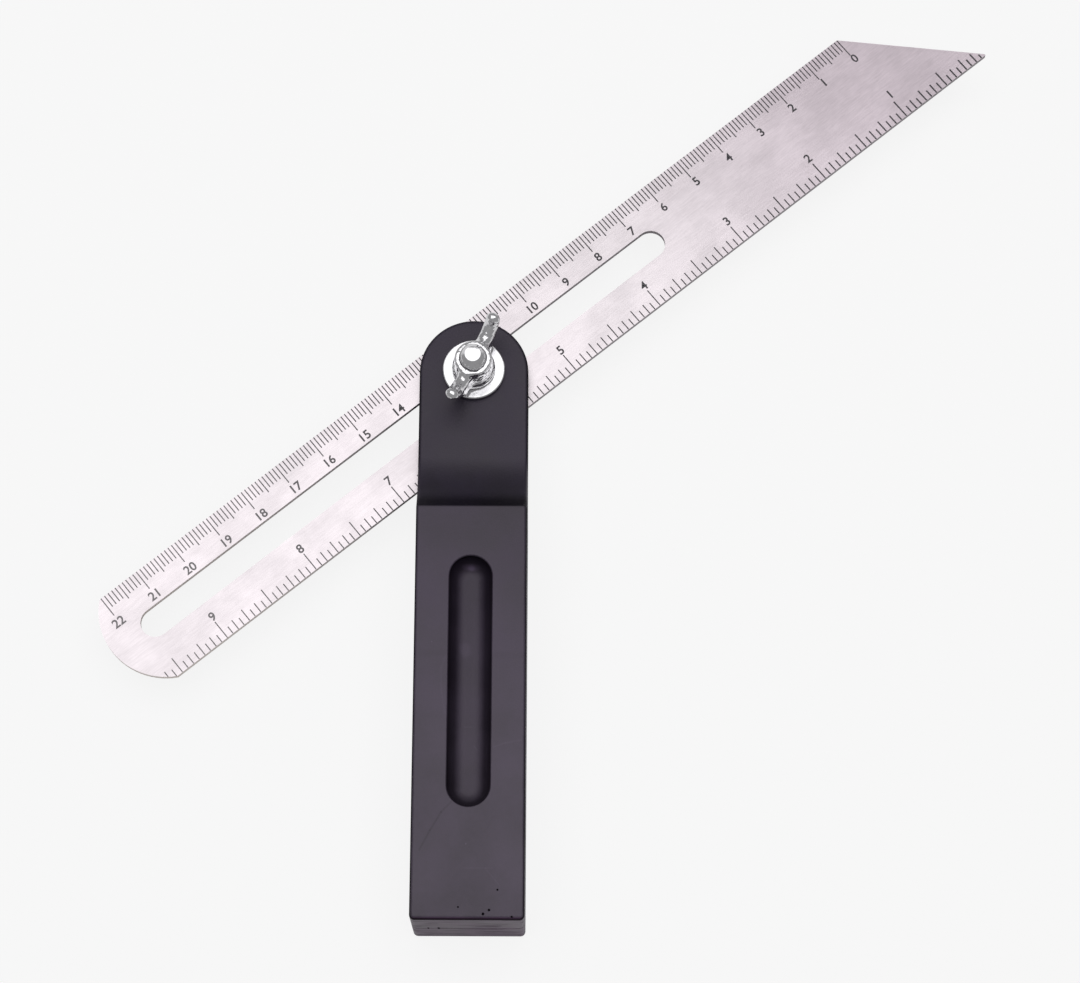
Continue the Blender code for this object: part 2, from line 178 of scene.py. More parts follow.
class Graph:
    """The node tree of one material or of the world."""

    def __init__(self, owner: Material | bpy.types.World) -> None:
        """Empties the owner's tree.

        Args:
            owner: What the tree shades.
        """
        owner.use_nodes = True
        self.tree = owner.node_tree
        self.tree.nodes.clear()

    def add(self, kind: str, settings: Values | None = None, sockets: Values | None = None) -> bpy.types.Node:
        """Adds one node of any type.

        Args:
            kind: The node's type.
            settings: The node's own properties, which are set first.
            sockets: The values or links of its inputs, by name or by number.

        Returns:
            The node.
        """
        node = self.tree.nodes.new(kind)
        for name, value in (settings or {}).items():
            setattr(node, name, value)
        for name, value in (sockets or {}).items():
            socket = node.inputs[name]
            source = value.socket if isinstance(value, Signal) else value
            if isinstance(source, bpy.types.NodeSocket):
                self.tree.links.new(source, socket)
            else:
                socket.default_value = source
        return node

    def signal(self, node: bpy.types.Node, output: str | int = 0) -> Signal:
        """One of a node's outputs as a number to reckon with."""
        return Signal(self.tree, node.outputs[output])

    def vector(self, operation: str, first: Any, second: Any) -> bpy.types.Node:
        """A Vector Math node on two vectors or the sockets of two."""
        return self.add("ShaderNodeVectorMath", {"operation": operation}, {0: first, 1: second})

    def place(self, turn: float = 0.0, stretch: Point = (1.0, 1.0, 1.0), shift: Point = (0.0, 0.0, 0.0)) -> Any:
        """Object coordinates, turned about Z after a shift, and stretched.

        Args:
            turn: The angle of the pattern's own x axis.
            stretch: The scale along each of the pattern's axes.
            shift: The point that becomes the pattern's origin.

        Returns:
            The socket that gives the coordinates.
        """
        moved = self.vector("SUBTRACT", self.add("ShaderNodeTexCoord").outputs["Object"], shift).outputs[0]
        turned = self.add("ShaderNodeVectorRotate", {"rotation_type": "Z_AXIS"}, {"Vector": moved, "Angle": -turn})
        return self.vector("MULTIPLY", turned.outputs[0], stretch).outputs[0]

    def noise(self, coordinates: Any, scale: float, detail: float, rough: float) -> Signal:
        """Fractal noise from 0 to 1.

        Args:
            coordinates: The socket that gives the place.
            scale: Blotches to the metre.
            detail: How many finer layers are added.
            rough: The weight of each finer layer.

        Returns:
            The noise.
        """
        sockets = {"Vector": coordinates, "Scale": scale, "Detail": detail, "Roughness": rough}
        return self.signal(self.add("ShaderNodeTexNoise", None, sockets))

    def split(self, vector: Any) -> tuple[Signal, Signal, Signal]:
        """The three components of a vector."""
        node = self.add("ShaderNodeSeparateXYZ", None, {"Vector": vector})
        return self.signal(node, 0), self.signal(node, 1), self.signal(node, 2)

    def near(self, coordinates: Any, point: Point, radius: float) -> Signal:
        """1 at a point, fading to 0 at a radius from it."""
        gap = self.signal(self.vector("DISTANCE", coordinates, point), "Value")
        return gap.rise(radius, radius * SPOT_CORE)

    def streak(self, coordinates: Any, mark: Mark) -> Signal:
        """1 along a straight line, fading to 0 at a width from it.

        The place's offset from the first end is projected on the line, the projection is held between the two
        ends, and the distance from there to the place is what fades.

        Args:
            coordinates: The socket that gives the place.
            mark: The line.

        Returns:
            The streak.
        """
        run = Vector(mark.last) - Vector(mark.first)
        offset = self.vector("SUBTRACT", coordinates, mark.first).outputs[0]
        along = self.vector("DOT_PRODUCT", offset, tuple(run / run.length_squared))
        share = self.signal(along, "Value").most(0.0).least(1.0)
        foot = self.add("ShaderNodeVectorMath", {"operation": "SCALE"}, {0: tuple(run), "Scale": share})
        gap = self.signal(self.vector("DISTANCE", offset, foot.outputs[0]), "Value")
        return gap.rise(mark.width, mark.width * STREAK_CORE)

    def shaded(self, colour: Any, shade: Signal) -> Any:
        """A colour multiplied by a number that varies."""
        tone = self.add("ShaderNodeCombineColor", None, {0: shade, 1: shade, 2: shade}).outputs[0]
        return self.blend(1.0, colour, tone, "MULTIPLY")

    def blend(self, share: Signal | float, first: Any, second: Any, mode: str = "MIX") -> Any:
        """A mix of two colours.

        Args:
            share: How much of the second colour is in it.
            first: A colour or the socket of one.
            second: A colour or the socket of one.
            mode: How the second is laid over the first.

        Returns:
            The socket of the mix.
        """
        # The Mix node's inputs 6 and 7 and its output 2 are the ones that hold colours.
        node = self.add("ShaderNodeMix", {"data_type": "RGBA", "blend_type": mode}, {0: share})
        for number, colour in ((6, first), (7, second)):
            if isinstance(colour, tuple):
                node.inputs[number].default_value = (*colour, 1.0)
            else:
                self.tree.links.new(colour, node.inputs[number])
        return node.outputs[2]

    def bump(self, height: Signal, depth: float) -> Any:
        """The normal of a surface whose relief is height times depth, in metres."""
        return self.add("ShaderNodeBump", None, {"Height": height, "Distance": depth}).outputs[0]

    def shown(self, camera: float, mirrored: float) -> Signal:
        """How much a surface shows an even colour of its own, by the ray that meets it.

        Args:
            camera: The share for the camera's rays.
            mirrored: The share for rays that come by way of gloss or glass.

        Returns:
            The share, which is 0 for all other rays.
        """
        path = self.add("ShaderNodeLightPath")
        by_way = self.signal(path, "Is Glossy Ray").most(self.signal(path, "Is Transmission Ray"))
        return (self.signal(path, "Is Camera Ray") * camera).most(by_way * mirrored)

    def principled(self, sockets: Values, black: Signal | None = None) -> None:
        """Adds the Principled shader and the surface output.

        Args:
            sockets: The shader's values and links.
            black: The share of the surface that sends no light back.
        """
        surface = self.add("ShaderNodeBsdfPrincipled", None, sockets)
        if black is not None:
            # The black share darkens the surface: painted shade, and dark flaws such as pits and gaps.
            shade_and_flaw_black = self.add("ShaderNodeBsdfPrincipled", None, SHADE_AND_FLAW_BLACK)
            sockets = {0: black, 1: surface.outputs[0], 2: shade_and_flaw_black.outputs[0]}
            surface = self.add("ShaderNodeMixShader", None, sockets)
        self.add("ShaderNodeOutputMaterial", None, {"Surface": surface.outputs[0]})


@dataclass(frozen=True)
class Mark:
    """A straight trace in a face: a flow line, a scratch, a rub, a gap or a painted highlight."""

    first: Point
    last: Point
    width: float
    tone: float


@dataclass(frozen=True)
class Finish:
    """What every finish has: a material whose nodes it adds itself."""

    def material(self, name: str) -> Material:
        """The finish as a material.

        Args:
            name: The material's name.

        Returns:
            The material.
        """
        material = bpy.data.materials.new(name)
        self.paint(Graph(material))
        return material

    def paint(self, graph: Graph) -> None:
        """Adds the nodes of the finish."""
        raise NotImplementedError


@dataclass(frozen=True)
class MouldedPlastic(Finish):
    """Matt black plastic as it leaves the mould: clouded, finely grained, with pits and traces in its faces.

    Its colour runs along the stock from far to near, lighter towards the butt as painted light, and is painted
    darker past the shoulder as shade. A rim is painted shade, a dark band along the rounded edge of a face: a step
    up at its foot and a step down at its top.
    """

    # Painted shade: past the shoulder, on the scoop and the recessed ear, the colour is darker to stand in for the
    # shade there.
    ear: Colour = (0.0078, 0.0050, 0.0136)
    # Painted light: the colour grows lighter from far to near, standing in for more light on the butt's end of the
    # stock.
    far: Colour = (0.0220, 0.0160, 0.0280)
    near: Colour = (0.0370, 0.0290, 0.0435)
    butt: Colour = (0.0400, 0.0130, 0.0430)
    far_to_near: Span = (0.0800, -0.0125)
    shoulder: Span = (0.0805, 0.0813)
    butt_edge: Span = (-0.0117, -0.0123)
    # Painted shade: dark bands along the rounded edges of the front face and of the ear.
    face_rim: tuple[Span, Span] = ((0.02282, 0.02309), (0.02390, 0.02372))
    ear_rim: tuple[Span, Span] = ((0.01682, 0.01709), (0.01790, 0.01772))
    rim_tone: float = 0.80
    # Painted shade in the finger groove, darker on its walls than on its floor.
    groove_side: Span = (0.0056, 0.0053)
    groove_end: Span = (0.0110, 0.0114)
    groove_mouth: Span = (0.0239, 0.0235)
    groove_wall: Span = (0.0197, 0.0205)
    wall_tone: float = 0.52
    floor_tone: float = 0.21
    # Painted shade at the scoop's foot.
    slope: Span = (0.0202, 0.0226)
    slope_tone: float = 0.57
    flows: Pattern = (900.0, 3.0, 0.6)
    flow_stretch: float = 0.12
    flow_contrast: Span = (0.50, 0.60)
    flow_tone: float = 0.34
    roughness: float = 0.44
    roughness_spread: float = 0.06
    ior: float = 1.54
    gloss_tint: Colour = (0.97, 0.90, 1.0)
    clouds: Pattern = (90.0, 4.0, 0.6)
    cloud_tone: float = 0.50
    drifts: Pattern = (28.0, 2.0, 0.5)
    drift_tone: float = 0.60
    contrast: Span = (0.30, 0.70)
    grain: Pattern = (2600.0, 2.0, 0.5)
    grain_depth: float = 0.00003
    pit_steepness: float = 8.0
    pits: tuple[tuple[Point, float], ...] = ()
    gaps: tuple[Mark, ...] = ()
    marks: tuple[Mark, ...] = ()

    def paint(self, graph: Graph) -> None:
        """Adds the nodes of the finish.

        Args:
            graph: The material's nodes.
        """
        here = graph.place()
        _, y, _ = graph.split(here)
        clouds = graph.noise(here, *self.clouds).rise(*self.contrast)
        drifts = graph.noise(here, *self.drifts).rise(*self.contrast)
        relief = graph.noise(here, *self.grain)
        beyond = y.rise(*self.shoulder)
        butt = y.rise(*self.butt_edge)
        # The base colour holds painted light along the stock and painted shade past the shoulder, then the butt's
        # own colour.
        body = graph.blend(y.rise(*self.far_to_near), self.far, self.near)
        body = graph.blend(butt, graph.blend(beyond, body, self.ear), self.butt)
        shade = clouds.about(1.0, self.cloud_tone) + drifts.about(0.0, self.drift_tone)
        # The traces lighten or darken the colour. The broad ones in the groove are painted highlights.
        for mark in self.marks:
            shade = shade + graph.streak(here, mark) * mark.tone
        # dim holds painted shade on the rims, in the groove and at the scoop's foot, with the butt's flow lines,
        # then the real gaps and pits.
        dim = self.shadowed(graph, here, beyond, butt)
        for gap in self.gaps:
            dim = dim.most(graph.streak(here, gap) * gap.tone)
        for point, radius in self.pits:
            pit = graph.near(here, point, radius)
            dim = dim.most(pit)
            relief = relief - pit * self.pit_steepness
        graph.principled({
            "Base Color": graph.shaded(body, shade),
            "Roughness": clouds.about(self.roughness, self.roughness_spread),
            "IOR": self.ior,
            "Specular Tint": (*self.gloss_tint, 1.0),
            "Normal": graph.bump(relief, self.grain_depth),
        }, dim)

    def shadowed(self, graph: Graph, here: Any, beyond: Signal, butt: Signal) -> Signal:
        """How much of the light is taken out: painted shade on the rounded edges, in the groove and at the scoop's
        foot, and the butt's flow lines.

        Args:
            graph: The material's nodes.
            here: The place on the stock.
            beyond: 1 past the shoulder, in the scoop and on the ear.
            butt: 1 on the butt's end face.

        Returns:
            0 where the surface keeps its light and 1 where it is black.
        """
        x, y, z = graph.split(here)
        before = 1.0 - beyond
        # Painted shade along the rounded edges.
        rim = (self.band(z, self.face_rim) * before).most(self.band(z, self.ear_rim) * beyond)
        # Painted shade in the finger groove.
        sunk = abs(x).rise(*self.groove_side) * y.rise(*self.groove_end) * before * z.rise(*self.groove_mouth)
        wall = z.rise(*self.groove_wall)
        groove = sunk * (wall * (self.wall_tone - self.floor_tone) + self.floor_tone)
        # Painted shade at the scoop's foot.
        slope = z.rise(*self.slope) * beyond
        flow = graph.noise(graph.place(stretch=(self.flow_stretch, 1.0, 1.0)), *self.flows)
        flow = flow.rise(*self.flow_contrast) * butt
        return (rim * self.rim_tone).most(groove).most(slope * self.slope_tone).most(flow * self.flow_tone)

    @staticmethod
    def band(height: Signal, rim: tuple[Span, Span]) -> Signal:
        """1 in a band of heights, fading to 0 just outside it."""
        return height.rise(*rim[0]) * height.rise(*rim[1])


@dataclass(frozen=True)
class BrushedSteel(Finish):
    """Stainless steel with short brush lines along its length, stained in patches, with painted light towards its
    round end, and its sheared edges painted dark.
    """

    turn: float
    pivot: Point
    half_thickness: float
    # Painted light: lighter at the round end and darker towards the tip, standing in for the reflection of light
    # that falls off along the blade.
    tail: Colour = (0.642, 0.594, 0.618)
    tip: Colour = (0.550, 0.481, 0.523)
    tail_to_tip: Span = (0.035, 0.125)
    # Painted reflection: the sheared edges are painted dark, and lighter towards the round end.
    edge: Colour = (0.300, 0.276, 0.290)
    worn_edge: Colour = (0.620, 0.570, 0.540)
    edge_wear: Span = (0.0, -0.100)
    edge_depths: Span = (0.00002, 0.00006)
    edge_roughness: float = 0.25
    roughness: float = 0.33
    roughness_spread: float = 0.12
    lines: Pattern = (2600.0, 4.0, 0.7)
    line_stretch: float = 0.11
    line_contrast: Span = (0.25, 0.75)
    line_tone: float = 0.15
    line_depth: float = 0.00001
    bands: Pattern = (650.0, 3.0, 0.6)
    band_contrast: Span = (0.30, 0.70)
    band_tone: float = 0.05
    stains: Pattern = (60.0, 4.0, 0.6)
    stain_contrast: Span = (0.38, 0.62)
    stain_tone: float = 0.12

    def paint(self, graph: Graph) -> None:
        """Adds the nodes of the finish.

        Args:
            graph: The material's nodes.
        """
        along = graph.place(self.turn, (self.line_stretch, 1.0, 1.0), self.pivot)
        lines = graph.noise(along, *self.lines)
        bands = graph.noise(along, *self.bands).rise(*self.band_contrast)
        here = graph.place(self.turn, shift=self.pivot)
        x, _, z = graph.split(here)
        stains = graph.noise(here, *self.stains).rise(*self.stain_contrast)
        # Painted light: lighter towards the round end.
        colour = graph.blend(x.rise(*self.tail_to_tip), self.tail, self.tip)
        shade = lines.rise(*self.line_contrast).about(1.0, self.line_tone)
        shade = shade + bands.about(0.0, self.band_tone) + stains.about(0.0, self.stain_tone)
        # The sheared edges: rougher, and painted with a dark reflection that grows lighter towards the round end.
        sheared = abs(z).rise(*(self.half_thickness - depth for depth in self.edge_depths))
        edge = graph.blend(x.rise(*self.edge_wear), self.edge, self.worn_edge)
        graph.principled({
            "Base Color": graph.blend(sheared, graph.shaded(colour, shade), edge),
            "Metallic": 1.0,
            "Roughness": lines.about(self.roughness, self.roughness_spread) + sheared * self.edge_roughness,
            "Normal": graph.bump(lines, self.line_depth),
        })


@dataclass(frozen=True)
class BrightPlate(Finish):
    """Bright plating over a slightly uneven metal, filmed in patches."""

    colour: Colour = (0.71, 0.705, 0.72)
    worn: Colour = (0.60, 0.59, 0.61)
    roughness: float = 0.12
    roughness_spread: float = 0.10
    ripples: Pattern = (420.0, 2.0, 0.5)
    ripple_depth: float = 0.00004
    film: Pattern = (1050.0, 3.0, 0.5)
    film_contrast: Span = (0.45, 0.85)

    def paint(self, graph: Graph) -> None:
        """Adds the nodes of the finish.

        Args:
            graph: The material's nodes.
        """
        here = graph.place()
        ripples = graph.noise(here, *self.ripples)
        film = graph.noise(here, *self.film)
        graph.principled({
            "Base Color": graph.blend(film.rise(*self.film_contrast), self.colour, self.worn),
            "Metallic": 1.0,
            "Roughness": film.about(self.roughness, self.roughness_spread),
            "Normal": graph.bump(ripples, self.ripple_depth),
        })


@dataclass(frozen=True)
class EtchedMark(Finish):
    """The dark oxide of marks etched in steel, turning grey towards the blade's round end."""

    turn: float
    pivot: Point
    deep: Colour = (0.030, 0.028, 0.032)
    faint: Colour = (0.075, 0.070, 0.078)
    speckles: Pattern = (5200.0, 2.0, 0.5)
    speckle_contrast: Span = (0.35, 0.75)
    # The marks turn greyer towards the blade's round end.
    worn: Colour = (0.190, 0.180, 0.186)
    wear: Span = (0.0, -0.090)
    roughness: float = 0.55
    roughness_spread: float = 0.2

    def paint(self, graph: Graph) -> None:
        """Adds the nodes of the finish.

        Args:
            graph: The material's nodes.
        """
        speckles = graph.noise(graph.place(), *self.speckles)
        x, _, _ = graph.split(graph.place(self.turn, shift=self.pivot))
        oxide = graph.blend(speckles.rise(*self.speckle_contrast), self.deep, self.faint)
        graph.principled({
            "Base Color": graph.blend(x.rise(*self.wear), oxide, self.worn),
            "Roughness": speckles.about(self.roughness, self.roughness_spread),
        })


@dataclass(frozen=True)
class PaleFloor(Finish):
    """A plain pale floor that keeps a faint shadow and shows even in the camera, in gloss and through glass."""

    colour: Colour = (0.943, 0.943, 0.943)
    evenness: float = 0.92
    mirrored_evenness: float = 0.15

    def paint(self, graph: Graph) -> None:
        """Adds the nodes of the finish.

        Args:
            graph: The material's nodes.
        """
        colour = {"Color": (*self.colour, 1.0)}
        matt = graph.add("ShaderNodeBsdfDiffuse", None, colour)
        glow = graph.add("ShaderNodeEmission", None, colour)
        glowing = graph.shown(self.evenness, self.mirrored_evenness)
        mix = graph.add("ShaderNodeMixShader", None, {0: glowing, 1: matt.outputs[0], 2: glow.outputs[0]})
        graph.add("ShaderNodeOutputMaterial", None, {"Surface": mix.outputs[0]})


def new_piece(name: str, points: Array, faces: Array | list, material: Material, smooth: bool = True) -> Object:
    """A mesh object at the origin.

    Args:
        name: The piece's name.
        points: Its points, one row each, in metres.
        faces: The numbers of each face's corners.
        material: Its finish.
        smooth: Whether its faces are shaded as one curve.

    Returns:
        The object.
    """
    mesh = bpy.data.meshes.new(name)
    cells = faces.tolist() if isinstance(faces, Array) else faces
    mesh.from_pydata(points.tolist(), [], cells)
    mesh.polygons.foreach_set("use_smooth", np.full(len(mesh.polygons), smooth))
    mesh.materials.append(material)
    mesh.update()
    piece = bpy.data.objects.new(name, mesh)
    bpy.context.scene.collection.objects.link(piece)
    return piece


def dress(node: str, material: Material) -> Object:
    """Gives a solid of the frame a new finish.

    Args:
        node: The solid's name.
        material: The finish.

    Returns:
        The solid's object.
    """
    solid = bpy.data.objects[node]
    finishes = solid.data.materials
    for number in range(len(finishes)):
        finishes[number] = material
    if not finishes:
        finishes.append(material)
    return solid


def smoothed(node: str, name: str, material: Material) -> Object:
    """A piece with a solid's own shape, shaded as curves where its facets meet gently.

    The solid's triangles are loose. Each corner is rounded to a fine lattice, corners on one lattice point get
    one number, and triangles that fold to a line there are left out.

    Args:
        node: The solid's name.
        name: The piece's name.
        material: Its finish.

    Returns:
        The piece, in the solid's place.
    """
    solid = bpy.data.objects[node].data
    places = np.empty(len(solid.vertices) * 3)
    solid.vertices.foreach_get("co", places)
    places = places.reshape(-1, 3)
    corners = np.empty(len(solid.loops), dtype=int)
    solid.loops.foreach_get("vertex_index", corners)
    lattice = np.round(places / LATTICE).astype(int)
    _, first, number = np.unique(lattice, axis=0, return_index=True, return_inverse=True)
    faces = number.reshape(-1)[corners].reshape(-1, 3)
    whole = (faces != np.roll(faces, 1, axis=1)).all(axis=1)
    piece = new_piece(name, places[first], faces[whole], material)
    piece.data.set_sharp_from_angle(angle=SMOOTH_ANGLE)
    evened = piece.modifiers.new("flat_faces_lead", "WEIGHTED_NORMAL")
    evened.keep_sharp = True
    evened.weight = FLAT_FACE_WEIGHT
    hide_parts(node)
    return piece


def placed(along: Array, across: Array, up: Array, turn: float, origin: Point) -> Array:
    """Points of a turned frame as points of the scene.

    Each point is turned by the frame's angle about the upright axis and set on the frame's origin.

    Args:
        along: Distances along the frame's own x axis.
        across: Distances along its own y axis.
        up: Heights over its origin.
        turn: The angle of its x axis.
        origin: The place of its origin in the scene.

    Returns:
        The points, the last axis of the array being x, y and z.
    """
    cosine, sine = math.cos(turn), math.sin(turn)
    x = origin[0] + along * cosine - across * sine
    y = origin[1] + along * sine + across * cosine
    return np.stack([x, y, origin[2] + up], axis=-1)


@dataclass
class Stock:
    """The moulded stock: two halves in the shape of their solids, with pits, traces and gaps in the material, and
    painted highlights in the groove.

    The tables are in millimetres. A pit is an x, a y and a radius in the front face. The traces stand in groups,
    each at one height over the back. The gaps are in the butt's end face, along x and z.
    """

    front_face: float = 24.0
    butt_face: float = -12.45
    pits: tuple[Point, ...] = (
        (-1.88, -9.75, 0.22), (4.83, -10.38, 0.32), (3.54, -11.25, 0.34), (6.61, -5.98, 0.26), (9.75, -11.87, 0.30),
    )
    traces: tuple[tuple[float, tuple[Trace, ...]], ...] = (
        (24.0, (
            (-3.71, 13.28, -5.86, 11.06, 0.35, -0.30), (-5.86, 11.06, -8.20, 7.07, 0.35, -0.34),
            (-8.20, 7.07, -10.52, 2.66, 0.32, -0.30),
            (-12.5, 46.8, -5.3, 46.8, 1.30, -0.14), (5.6, 46.4, 12.5, 46.4, 1.30, -0.14),
            (-5.27, 46.3, -6.33, 43.4, 0.35, 0.16), (-6.33, 43.4, -6.26, 38.4, 0.35, 0.20),
            (-6.26, 38.4, -5.30, 33.2, 0.35, 0.14),
            (5.42, 25.6, 8.00, 26.5, 0.30, 0.20), (8.00, 26.5, 11.6, 27.2, 0.30, 0.22),
            (-0.47, -1.24, 5.39, -1.22, 0.22, 0.18), (3.87, -1.23, 6.07, -3.84, 0.22, 0.16),
            (6.07, -3.84, 7.16, -5.15, 0.22, 0.16),
            (-0.36, 4.02, -0.36, 4.12, 0.22, 0.90), (-8.48, 49.37, -8.48, 49.47, 0.20, 0.90),
        )),
        (19.5, (
            (-1.21, 31.04, 0.56, 31.05, 0.16, 0.45), (1.05, 26.75, 1.73, 25.85, 0.22, 0.35),
            # A painted highlight: a broad sheen on the groove's floor.
            (-1.2, 48.2, -1.2, 49.0, 2.00, 0.60),
        )),
        # Painted highlights: the sheen at the groove's upper end.
        (20.0, (
            (-2.0, 68.1, 0.1, 67.7, 1.20, 1.90), (0.1, 67.7, 2.1, 67.9, 1.20, 1.30),
        )),
        (18.6, (
            (-4.4, 86.8, -2.3, 87.9, 0.25, 0.60), (-2.8, 87.8, -0.8, 89.0, 0.25, 0.60),
        )),
    )
    gaps: tuple[Trace, ...] = (
        (-8.73, 11.3, -8.73, 12.7, 0.34, 0.95), (-6.43, 11.1, -6.43, 12.9, 0.38, 0.95),
        (-6.43, 12.0, -4.60, 12.0, 0.60, 0.60), (10.60, 12.2, 11.60, 12.2, 0.50, 0.40),
        (12.30, 11.6, 12.30, 12.9, 0.40, 0.85),
    )

    @staticmethod
    def metres(*lengths: float) -> tuple[float, ...]:
        """Lengths in metres, given in millimetres."""
        return tuple(length * MILLIMETRE for length in lengths)

    def plastic(self) -> Material:
        """The finish of both halves.

        Returns:
            The material.
        """
        metres, face, butt = self.metres, self.front_face, self.butt_face
        pits = tuple((metres(x, y, face), radius * MILLIMETRE) for x, y, radius in self.pits)
        gaps = tuple(
            Mark(metres(x0, butt, z0), metres(x1, butt, z1), width * MILLIMETRE, tone)
            for x0, z0, x1, z1, width, tone in self.gaps
        )
        marks = tuple(
            Mark(metres(x0, y0, height), metres(x1, y1, height), width * MILLIMETRE, tone)
            for height, traces in self.traces
            for x0, y0, x1, y1, width, tone in traces
        )
        return MouldedPlastic(pits=pits, gaps=gaps, marks=marks).material("moulded_plastic")

    def build(self) -> list[Object]:
        """Makes both halves in their solids' places.

        Returns:
            The halves.
        """
        plastic = self.plastic()
        halves = [
            smoothed("stock_front_half", "moulded_front_half", plastic),
            smoothed("stock_back_half", "moulded_back_half", plastic),
        ]
        for half in halves:
            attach(half, Body.STOCK.value)
        return halves


@dataclass
class Blade:
    """The blade: its brushed faces and the two scales etched in its upper face.

    The figures stand off their regular places by the shifts, which are in millimetres.
    """

    pivot: Point = (0.0, 0.11515, 0.0120)
    turn: float = math.radians(39.3)
    thickness: float = 0.0015
    width: float = 0.0254
    pivot_reading: float = 0.1212
    metric_edge: float = 0.01225
    tail_radius: float = 0.0158
    tail_centre: Pair = (-0.0884, 0.00064)
    mark_rise: float = 0.00002
    mark_sink: float = 0.00006
    mark_width: float = 0.00026
    tip_mark_width: float = 0.00038
    narrowing_run: float = 0.08
    narrowing_start: float = 0.2
    mark_inset: float = 0.00003
    metric_marks: int = 221
    millimetre_mark: float = 0.0032
    half_centimetre_mark: float = 0.0040
    centimetre_mark: float = 0.0051
    inch_marks: int = 155
    inch_steps: tuple[float, ...] = (
        0.0047, 0.0020, 0.0026, 0.0020, 0.0032, 0.0020, 0.0026, 0.0020,
        0.0041, 0.0020, 0.0026, 0.0020, 0.0032, 0.0020, 0.0026, 0.0020,
    )
    figure_height: float = 0.0022
    figure_weight: float = 0.020
    figure_steps: int = 4
    metric_figure_inset: float = 0.0064
    inch_figure_inset: float = 0.0072
    metric_shifts: tuple[Pair, ...] = (
        (0.17, 0.20), (0.35, 0.05), (0.18, -0.15), (0.37, -0.30), (0.20, -0.50), (0.37, -0.30), (0.20, -0.49),
        (0.55, -0.45), (0.20, -0.49), (0.39, -0.64), (0.39, -0.64), (0.45, -0.65), (0.50, -0.70), (0.55, -0.75),
        (0.57, -0.78), (0.57, -0.78), (0.54, -0.44), (0.71, -0.58), (0.57, -0.77), (0.57, -0.77), (0.07, -0.66),
        (-0.10, -0.52), (-0.10, -0.52),
    )
    inch_shifts: tuple[Pair, ...] = (
        (0.55, -0.45), (0.03, -0.69), (0.22, -0.83), (0.07, -1.02), (0.25, -1.16), (0.30, -1.05), (0.42, -0.96),
        (0.10, -1.00), (0.28, -1.13),
    )

    def place(self, along: Array, across: Array, up: Array) -> Array:
        """Points of the scene, given along the blade, towards its metric edge and over its middle plane."""
        return placed(along, across, up, self.turn, self.pivot)

    def bars(self, along: Array, start: Array, end: Array, width: Array) -> tuple[Array, Array]:
        """Thin upright-sided bars across the blade, one for each mark.

        A unit box's eight corners are scaled and shifted to every mark at once.

        Args:
            along: The middle of each mark along the blade.
            start: Where each mark starts across the blade.
            end: Where each mark ends.
            width: How wide each mark is.

        Returns:
            The points and the faces.
        """
        corner = np.array([[x, y, z] for z in (0, 1) for x, y in ((0, 0), (1, 0), (1, 1), (0, 1))], float)
        x = along[:, None] + width[:, None] * (corner[:, 0] - 0.5)
        y = start[:, None] + (end - start)[:, None] * corner[:, 1]
        rise = self.thickness / 2 + np.where(corner[:, 2] > 0, self.mark_rise, -self.mark_sink)
        points = self.place(x, y, np.broadcast_to(rise, x.shape)).reshape(-1, 3)
        box = np.array([(0, 3, 2, 1), (4, 5, 6, 7), (0, 1, 5, 4), (1, 2, 6, 5), (2, 3, 7, 6), (3, 0, 4, 7)])
        faces = (box[None] + len(corner) * np.arange(len(along))[:, None, None]).reshape(-1, 4)
        return points, faces

    def graduations(self, ink: Material) -> Object:
        """The marks of both scales.

        A metric mark's reach is chosen by its number and an inch mark's by the steps. Inch marks are cut off at
        the round end and at the mitre, and they are widest at the tip.

        Args:
            ink: The marks' finish.

        Returns:
            The piece.
        """
        steps = len(self.inch_steps)
        edge, low = self.metric_edge, self.metric_edge - self.width
        metric = np.arange(self.metric_marks)
        reach = np.where(metric % 5 == 0, self.half_centimetre_mark, self.millimetre_mark)
        reach = np.where(metric % 10 == 0, self.centimetre_mark, reach)
        along = self.pivot_reading - np.maximum(metric * MILLIMETRE, self.mark_width / 2)
        inch = np.arange(1, self.inch_marks)
        inch_reach = np.array(self.inch_steps)[inch % steps]
        inch_along = self.pivot_reading + self.width - inch * INCH / steps
        past = np.minimum(inch_along - self.tail_centre[0], 0.0)
        rim = self.tail_centre[1] - np.sqrt(self.tail_radius**2 - past**2)
        mitre = self.pivot_reading + self.width - inch_along - self.tip_mark_width
        narrow = np.clip((self.pivot_reading - inch_along) / self.narrowing_run + self.narrowing_start, 0.0, 1.0)
        inch_width = self.tip_mark_width + (self.mark_width - self.tip_mark_width) * narrow
        points, faces = self.bars(
            np.concatenate([along, inch_along]),
            np.concatenate([edge - reach, np.maximum(low, rim) + self.mark_inset]),
            np.concatenate([np.full(len(metric), edge - self.mark_inset), low + np.minimum(inch_reach, mitre)]),
            np.concatenate([np.full(len(metric), self.mark_width), inch_width]),
        )
        return new_piece("blade_graduations", points, faces, ink, smooth=False)

